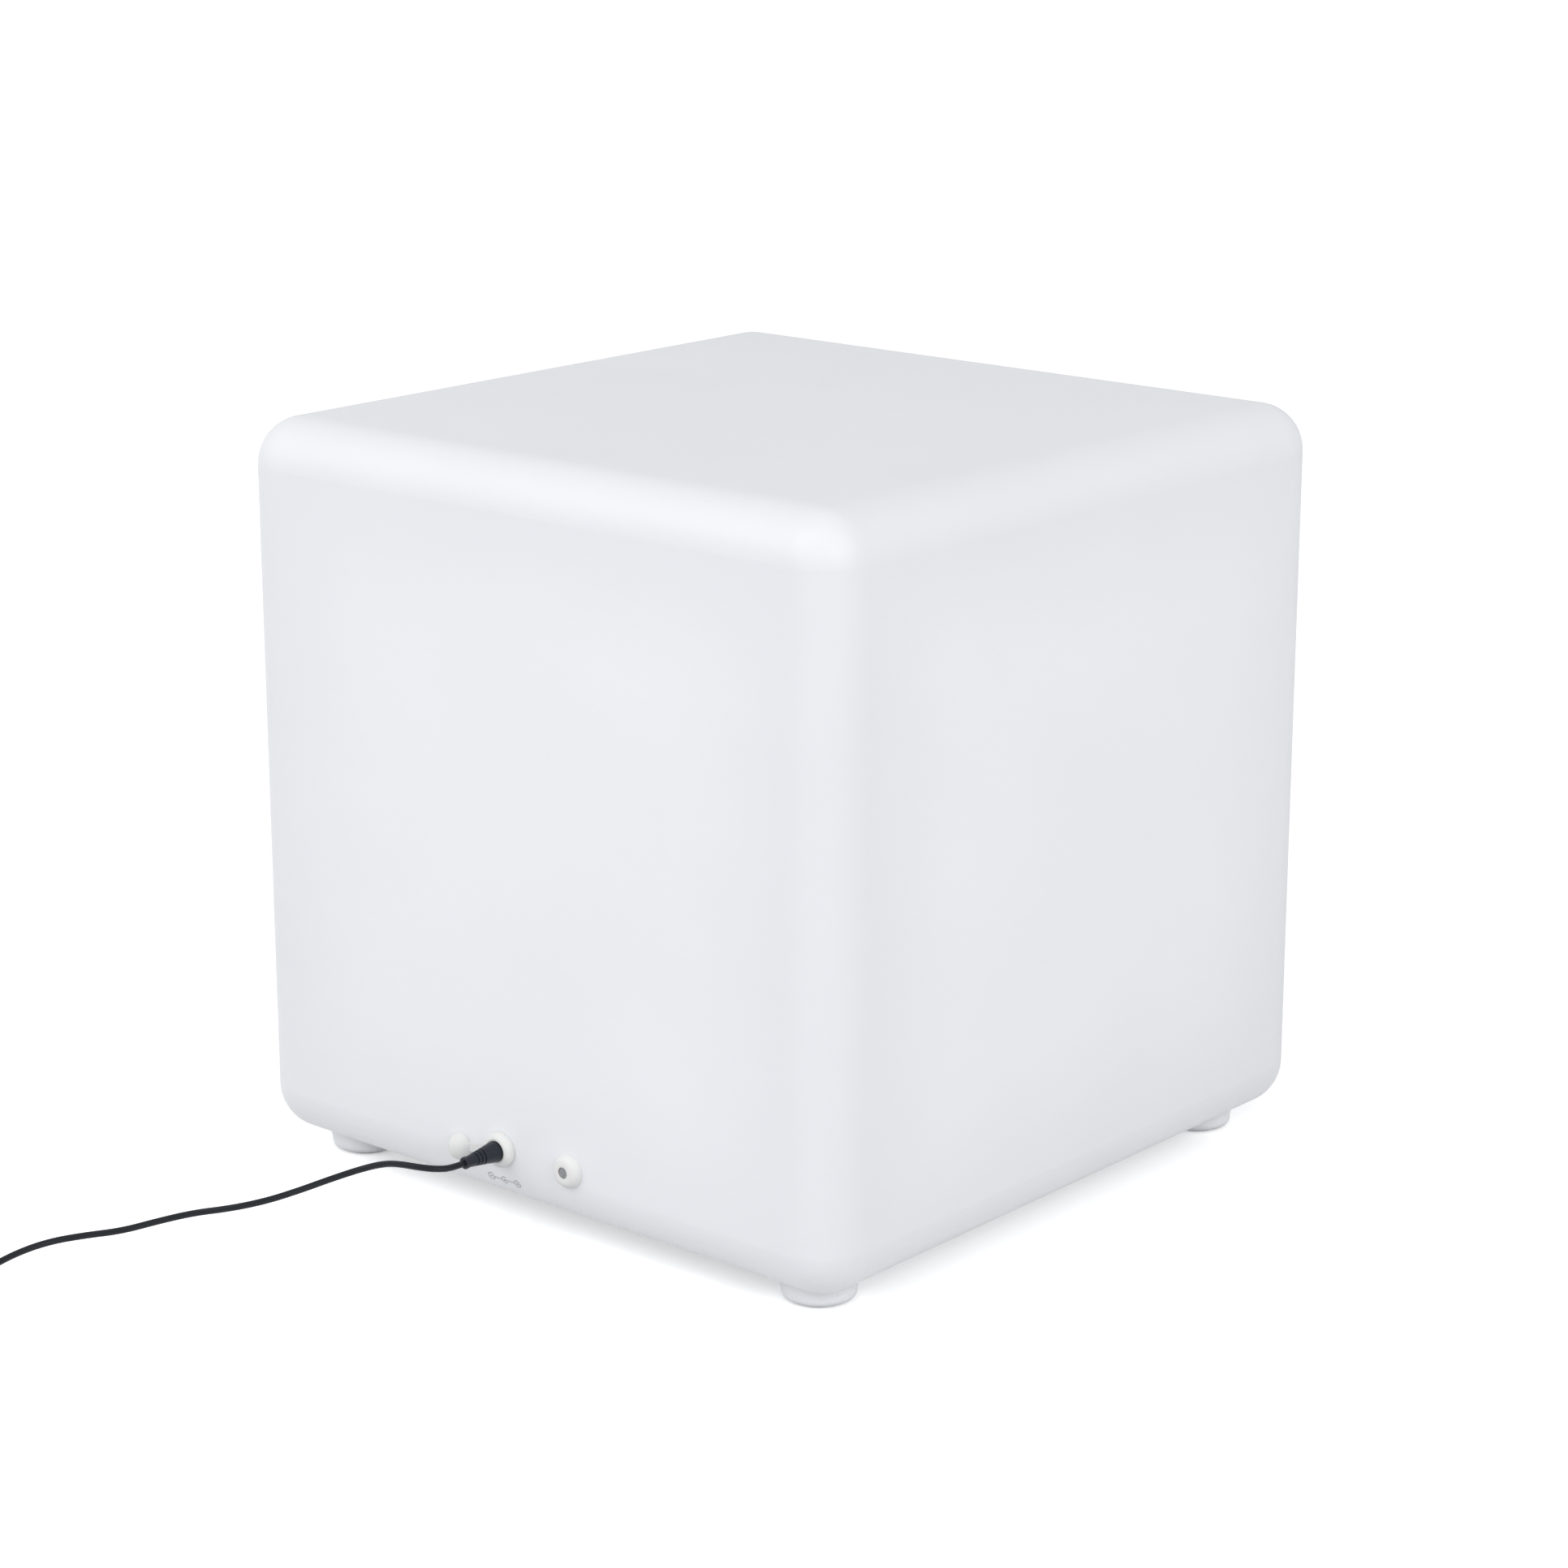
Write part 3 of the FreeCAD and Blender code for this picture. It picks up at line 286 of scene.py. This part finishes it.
floor_mesh = bpy.data.meshes.new("floor")
floor_mesh.from_pydata(
    [(sx * FLOOR_HALF, sy * FLOOR_HALF, 0) for sx, sy in ((-1, -1), (1, -1), (1, 1), (-1, 1))],
    [], [(0, 1, 2, 3)])
floor_mesh.materials.append(seamless_paper())
floor = bpy.data.objects.new("floor", floor_mesh)
bpy.context.scene.collection.objects.link(floor)
floor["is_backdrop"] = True


def softbox(name, place, power):
    """Square area lamp that points at the middle of the cube."""
    lamp = bpy.data.lights.new(name, "AREA")
    lamp.shape = "SQUARE"
    lamp.size = SOFTBOX_SIZE
    lamp.energy = power
    holder = bpy.data.objects.new(name, lamp)
    holder.location = place
    beam = Vector(SOFTBOX_AIM) - Vector(place)
    holder.rotation_euler = beam.to_track_quat("-Z", "Y").to_euler()
    bpy.context.scene.collection.objects.link(holder)


for softbox_name, (softbox_place, softbox_power) in SOFTBOXES.items():
    softbox(softbox_name, softbox_place, softbox_power)


# --- materials ---

def finish(name, colour, shade, tone_mm, grain_mm, grain_depth_mm, roughness, spread=0.06,
           **shader):
    """Material whose colour drifts to a shade over tone_mm, with a fine grain in relief. Its
    roughness varies by spread with the grain."""
    material, tree = blank_material(name)
    place = add(tree, "ShaderNodeTexCoord").outputs["Object"]
    drift = add(tree, "ShaderNodeTexNoise", {
        "Vector": place, "Scale": 1 / (tone_mm * MM), "Detail": 3.0})
    grain = add(tree, "ShaderNodeTexNoise", {
        "Vector": place, "Scale": 1 / (grain_mm * MM), "Detail": 2.0})
    tone = add(tree, "ShaderNodeMix", {
        "Factor": drift.outputs[0], "A": linear(colour), "B": linear(shade)}, data_type="RGBA")
    rough = add(tree, "ShaderNodeMapRange", {
        "Value": grain.outputs[0], "To Min": roughness - spread, "To Max": roughness + spread})
    relief = add(tree, "ShaderNodeBump", {
        "Height": grain.outputs[0], "Distance": grain_depth_mm * MM})
    principled = add(tree, "ShaderNodeBsdfPrincipled", {
        "Base Color": tone.outputs["Result"], "Roughness": rough.outputs[0],
        "Normal": relief.outputs[0], **shader})
    add(tree, "ShaderNodeOutputMaterial", {"Surface": principled.outputs[0]})
    return material


def rotomoulded_polyethylene():
    """White translucent polyethylene, rotationally moulded: a satin skin with a faint orange peel,
    long shallow waves where it shrank off the mould, a sandy grain on the feet, a faint parting
    line low on the sides, and a painted glow, emission that stands in for light passing through
    the walls, in the middle of each side wall and, from the bright floor, in the lower rounding."""
    material, tree = blank_material("rotomoulded_polyethylene")
    place = add(tree, "ShaderNodeTexCoord").outputs["Object"]
    spot = add(tree, "ShaderNodeSeparateXYZ", {0: place}).outputs
    peel = add(tree, "ShaderNodeTexNoise", {
        "Vector": place, "Scale": 1 / PEEL_SIZE, "Detail": 2.0})
    waves = add(tree, "ShaderNodeTexNoise", {
        "Vector": place, "Scale": 1 / WAVE_LENGTH, "Detail": 1.0})
    sand = add(tree, "ShaderNodeTexNoise", {
        "Vector": place, "Scale": 1 / SAND_SIZE, "Detail": 3.0})
    tone = add(tree, "ShaderNodeMix", {
        "Factor": waves.outputs[0], "A": linear("#ECEDF0"), "B": linear("#E8E9EC")},
        data_type="RGBA")

    def from_middle(axis, middle, near, far):
        """1 up to near from the middle of an axis, falling smoothly to 0 at far."""
        shifted = add(tree, "ShaderNodeMath", {0: spot[axis], 1: middle}, operation="SUBTRACT")
        away = add(tree, "ShaderNodeMath", {0: shifted.outputs[0]}, operation="ABSOLUTE")
        return add(tree, "ShaderNodeMapRange", {"Value": away.outputs[0], "From Min": near,
                                                "From Max": far, "To Min": 1.0, "To Max": 0.0},
                   interpolation_type="SMOOTHSTEP").outputs[0]

    # Painted glow: emission brightest in the middle of each side wall and in a band in the lower
    # rounding
    middle_z = (BODY_BASE + BODY_TOP) / 2
    across, along = (from_middle(axis, 0.0, BODY_HALF - PAINTED_GLOW_EDGE, BODY_HALF) for axis in "XY")
    upright = from_middle("Z", middle_z, BODY_TOP - middle_z - PAINTED_GLOW_EDGE, BODY_TOP - middle_z)
    painted_glow = from_middle("Z", BAND_HEIGHT, BAND_CORE, BAND_REACH)
    for wall in (along, across):
        middle = add(tree, "ShaderNodeMath", {0: wall, 1: upright}, operation="MULTIPLY")
        painted_glow = add(tree, "ShaderNodeMath", {0: middle.outputs[0], 1: PAINTED_WALL_GLOW, 2: painted_glow},
                   operation="MULTIPLY_ADD").outputs[0]

    wave_relief = add(tree, "ShaderNodeBump", {
        "Height": waves.outputs[0], "Distance": WAVE_DEPTH})
    parting = add(tree, "ShaderNodeBump", {
        "Height": from_middle("Z", PARTING_HEIGHT, 0.0, PARTING_HALF_WIDTH),
        "Distance": PARTING_DEPTH, "Normal": wave_relief.outputs[0]})
    sandy = add(tree, "ShaderNodeBump", {
        "Height": sand.outputs[0], "Distance": SAND_DEPTH, "Normal": parting.outputs[0],
        "Strength": from_middle("Z", 0.0, BODY_BASE, BODY_BASE + SAND_FADE)})
    relief = add(tree, "ShaderNodeBump", {
        "Height": peel.outputs[0], "Distance": PEEL_DEPTH, "Normal": sandy.outputs[0]})
    # Its emission is the painted glow, not light from a lit lamp
    principled = add(tree, "ShaderNodeBsdfPrincipled", {
        "Base Color": tone.outputs["Result"], "Roughness": 0.42, "IOR": 1.5,
        "Subsurface Weight": 0.2, "Subsurface Radius": (1.0, 0.97, 0.94),
        "Subsurface Scale": 4 * MM,
        "Emission Color": painted_glow, "Emission Strength": PAINTED_GLOW_STRENGTH,
        "Normal": relief.outputs[0]})
    add(tree, "ShaderNodeOutputMaterial", {"Surface": principled.outputs[0]})
    return material


# The finish of each slot in the record, and cord_sheath for the cord that is swept here. After its
# two colours, a finish has the sizes of its tone, its grain and the grain's depth in millimetres,
# and its roughness.
FINISHES = {
    "translucent_white": rotomoulded_polyethylene(),
    # Thermoplastic rubber, moulded: matt and slightly dusty
    "grey_rubber": finish("grey_rubber", "#8E8F93", "#85868A", 6, 0.5, 0.03, 0.75),
    # Turned brass with a knurled outside
    "brass": finish("turned_brass", "#B08D4A", "#A58243", 3, 0.3, 0.02, 0.30, Metallic=1.0),
    # Foamed rubber gaskets: dull and dark
    "black_seal": finish("black_seal_rubber", "#232425", "#1C1D1E", 4, 0.4, 0.05, 0.85),
    # White ABS, injection moulded with a fine spark-eroded texture
    "white_plastic": finish("white_abs", "#E3E4E6", "#DFE0E3", 30, 0.6, 0.03, 0.45),
    # Zinc-plated steel: cool and bright
    "bright_steel": finish("zinc_plated_steel", "#B9BABD", "#ABACB0", 2, 0.2, 0.005, 0.32,
                           Metallic=1.0),
    # Grey ABS, injection moulded: even and satin
    "tray_plastic": finish("grey_abs_tray", "#CFCFCB", "#C8C8C4", 15, 0.6, 0.03, 0.5),
    # Nickel-plated steel can: smooth and grey
    "cell_can": finish("nickel_plated_can", "#B4B5B8", "#A9AAAD", 8, 0.3, 0.004, 0.35,
                       Metallic=1.0),
    # Nickel plate: warmer and brighter than zinc
    "nickel": finish("nickel_plate", "#C2BDB2", "#B5B0A4", 2, 0.2, 0.004, 0.28, Metallic=1.0),
    # Heat-shrunk PVC film: glossy, with slight ripples
    "blue_sleeve": finish("blue_shrink_film", "#1F4F9C", "#1B478E", 12, 2.0, 0.03, 0.25),
    # Open-cell foam: rough, without any shine
    "black_foam": finish("black_foam", "#2B2B2C", "#1D1D1E", 2, 0.8, 0.4, 0.95),
    # Glass-fibre board under solder mask: smooth and satin
    "board_green": finish("green_solder_mask", "#1E5A36", "#1A4E30", 1.5, 0.3, 0.02, 0.35),
    # Moulded epoxy: flat dark grey
    "chip_black": finish("epoxy_chip_body", "#2A2A2C", "#242426", 2, 0.2, 0.01, 0.6),
    # Natural nylon: off-white and satin
    "header_white": finish("nylon_header", "#E2DFD4", "#DAD7CB", 5, 0.3, 0.01, 0.4),
    # Rolled aluminium sheet: bright, with a fine grain
    "bare_aluminium": finish("rolled_aluminium", "#C9CACC", "#BDBEC0", 10, 0.4, 0.01, 0.35,
                             Metallic=1.0),
    # White solder mask: smooth and bright round the LEDs
    "board_white": finish("white_solder_mask", "#E9E9E6", "#E2E2DF", 3, 0.3, 0.02, 0.35),
    # Phosphor in clear resin: yellow and glossy
    "led_package": finish("phosphor_package", "#E9E08C", "#E2D877", 1, 0.2, 0.01, 0.3),
    # Opal polycarbonate: milky and glossy
    "opal_cover": finish("opal_polycarbonate", "#EDEDEA", "#E8E8E5", 30, 1.0, 0.01, 0.3),
    # Extruded PVC: red and satin
    "wire_sheath": finish("red_wire_sheath", "#8E1F22", "#84191C", 4, 0.3, 0.01, 0.4),
    # Black nylon, moulded: dark with a dull sheen
    "black_housing": finish("black_nylon", "#262729", "#202123", 3, 0.3, 0.01, 0.45),
    # Liquid silicone rubber, moulded, with a soft sheen
    "white_silicone": finish("white_silicone", "#E8E8E6", "#E3E3E1", 8, 0.5, 0.01, 0.48,
                             **{"Subsurface Weight": 0.15, "Subsurface Scale": 1.5 * MM,
                                "Sheen Weight": 0.15}),
    # Smoke-grey polycarbonate lens of the button
    "grey_button": finish("smoke_grey_lens", "#A5A6A8", "#5C5D61", 0.9, 0.4, 0.05, 0.38),
    # Soft PVC of plug, cord and strain relief: charcoal with a blue cast, satin
    "charcoal_cord": finish("charcoal_pvc", "#21262F", "#1B1F28", 10, 0.6, 0.02, 0.40,
                            **{"Specular IOR Level": 0.3}),
    # Soft PVC sheath of the cord: the same, nearly black
    "cord_sheath": finish("black_pvc_sheath", "#161A21", "#12151B", 10, 0.6, 0.02, 0.36,
                          **{"Specular IOR Level": 0.25}),
    # Hook-and-loop tape: short matt loops
    "black_tie": finish("hook_and_loop_tape", "#2A2B2D", "#1B1C1E", 1.0, 0.5, 0.35, 0.95),
    # Polycarbonate of the mains adapter with a fine spark-eroded texture
    "black_adapter": finish("textured_polycarbonate", "#2B2D31", "#26282C", 12, 0.5, 0.05, 0.5),
    # Supply board under solder mask: a lighter green than the control board
    "supply_green": finish("supply_board", "#2E6B45", "#285F3D", 2, 0.3, 0.02, 0.4),
    # Polyester tape round the windings: flat yellow
    "transformer_yellow": finish("transformer_tape", "#C9A33A", "#BD9731", 4, 0.5, 0.02, 0.5),
}
slot_of = {part["node"]: part["material_slot"] for part in frame["record"]["subparts"]}
for node_name, part in frame["nodes"].items():
    part.data.materials.clear()
    part.data.materials.append(FINISHES[slot_of[node_name]])


# --- charging lead ---

def coil_points():
    """Eight turns, clockwise from above, each shifting to its next place over the first fifth.
    A last quarter turn leads to the tail. A quadratic spline runs inside its points, so they
    stand out by that much."""
    # Midway in its span, such a spline takes three quarters of one point and the rest of its two
    # neighbours
    own_share = 0.75
    stand_out = 1 / (own_share + (1 - own_share) * math.cos(2 * math.pi / POINTS_PER_TURN))
    shift_points = POINTS_PER_TURN / 5
    quarter_turn = POINTS_PER_TURN // 4
    points = []
    turns = len(COIL_TURNS) - 1
    for k in range(turns * POINTS_PER_TURN + quarter_turn + 1):
        turn, step = divmod(k, POINTS_PER_TURN)
        share = min(1.0, step / shift_points) if turn else 1.0
        before = COIL_TURNS[max(turn - 1, 0)]
        here = COIL_TURNS[min(turn, turns)]
        out, up = (a + (b - a) * share for a, b in zip(before, here))
        radius = (COIL_RADIUS + out * CORD_DIAMETER) * stand_out
        angle = -2 * math.pi * k / POINTS_PER_TURN
        points.append((COIL_CENTRE[0] + radius * math.cos(angle),
                       COIL_CENTRE[1] + radius * math.sin(angle),
                       COIL_BASE + (up + 0.5) * CORD_DIAMETER))
    return points


def charging_cord():
    """One swept cord from the plug through the coil to the adapter."""
    curve = bpy.data.curves.new("charging_cord", "CURVE")
    curve.dimensions = "3D"
    curve.bevel_depth = CORD_DIAMETER / 2
    curve.bevel_resolution = 6
    curve.resolution_u = 6
    curve.use_fill_caps = True
    spline = curve.splines.new("NURBS")
    points = RUN_POINTS + coil_points() + TAIL_POINTS
    spline.points.add(len(points) - 1)
    for point, place in zip(spline.points, points):
        point.co = (*place, 1.0)
    spline.order_u = 3
    spline.use_endpoint_u = True
    curve.materials.append(FINISHES["cord_sheath"])
    return link_piece("charging_cord", curve, "charging_lead")


cord = charging_cord()
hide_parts("cord_run", "cord_coil", "cord_tail")


# --- polarity mark, printed under the jack ---

def on_rounding(x, z, stand):
    """Point at x and z on the service face or its lower rounding, standing off by stand."""
    rounding_top = BODY_BASE + EDGE_RADIUS
    down = max(0.0, rounding_top - z)
    out = math.sqrt(EDGE_RADIUS ** 2 - down ** 2)
    scale = (EDGE_RADIUS + stand) / EDGE_RADIUS
    height = rounding_top - down * scale if down else z
    return (x, -(BODY_HALF - EDGE_RADIUS) - out * scale, height)


def ink_stroke(mesh, line, closed=False):
    """Thin strip of ink along a line of x and z offsets in millimetres."""
    line = [Vector(p) * MM for p in line]
    count = len(line)
    rings = []
    for k, here in enumerate(line):
        ahead = line[(k + 1) % count] if closed or k + 1 < count else here
        behind = line[k - 1] if closed or k else here
        way = (ahead - behind).normalized()
        side = Vector((-way.y, way.x)) * MARK_WIDTH / 2
        section = ((here - side, -1), (here + side, -1), (here + side, 1), (here - side, 1))
        corners = []
        for place, stand in section:
            corners.append(mesh.verts.new(on_rounding(
                MARK_CENTRE[0] + place.x, MARK_CENTRE[1] + place.y, stand * INK_THICKNESS)))
        rings.append(corners)
    pairs = zip(rings, rings[1:] + rings[:1]) if closed else zip(rings, rings[1:])
    for first, second in pairs:
        for a in range(4):
            b = (a + 1) % 4
            mesh.faces.new((first[a], first[b], second[b], second[a]))
    if not closed:
        mesh.faces.new(rings[0][::-1])
        mesh.faces.new(rings[-1])


def arc_line(x, radius, start, end, steps):
    """Points of an arc about x, from the start angle to the end angle in degrees."""
    angles = [math.radians(start + (end - start) * k / steps) for k in range(steps + 1)]
    return [(x + radius * math.cos(a), radius * math.sin(a)) for a in angles]


def circle_line(x, radius, points):
    """Points of a whole circle about x, the first one not repeated at its end."""
    return arc_line(x, radius, 0, 360 - 360 / points, points - 1)


def polarity_mark():
    """Minus and plus signs in circles, joined to a socket and its centre contact."""
    mesh = bmesh.new()
    for x in (-SIGN_OFFSET, SIGN_OFFSET):
        ink_stroke(mesh, circle_line(x, SIGN_RADIUS, 24), closed=True)
        ink_stroke(mesh, [(x - SIGN_HALF_STROKE, 0), (x + SIGN_HALF_STROKE, 0)])
    ink_stroke(mesh, [(SIGN_OFFSET, -SIGN_HALF_STROKE), (SIGN_OFFSET, SIGN_HALF_STROKE)])
    ink_stroke(mesh, [(x, 0) for x in MINUS_LINE])
    ink_stroke(mesh, arc_line(SOCKET_OFFSET, SOCKET_RADIUS, SOCKET_OPENING,
                              360 - SOCKET_OPENING, 18))
    ink_stroke(mesh, circle_line(SOCKET_OFFSET, CONTACT_RADIUS, 12), closed=True)
    ink_stroke(mesh, [(x, 0) for x in PLUS_LINE])
    bmesh.ops.recalc_face_normals(mesh, faces=mesh.faces)
    data = bpy.data.meshes.new("polarity_mark")
    mesh.to_mesh(data)
    mesh.free()
    # Pad-printed grey ink, slightly broken over the moulded skin
    data.materials.append(finish("grey_print_ink", "#9A9CA2", "#B4B6BB", 0.8, 0.3, 0.01, 0.55))
    return link_piece("polarity_mark", data, "light_cube")


polarity_mark()

for part in bpy.context.scene.objects:
    if part.type == "MESH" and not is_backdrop(part):
        part.data.shade_smooth()
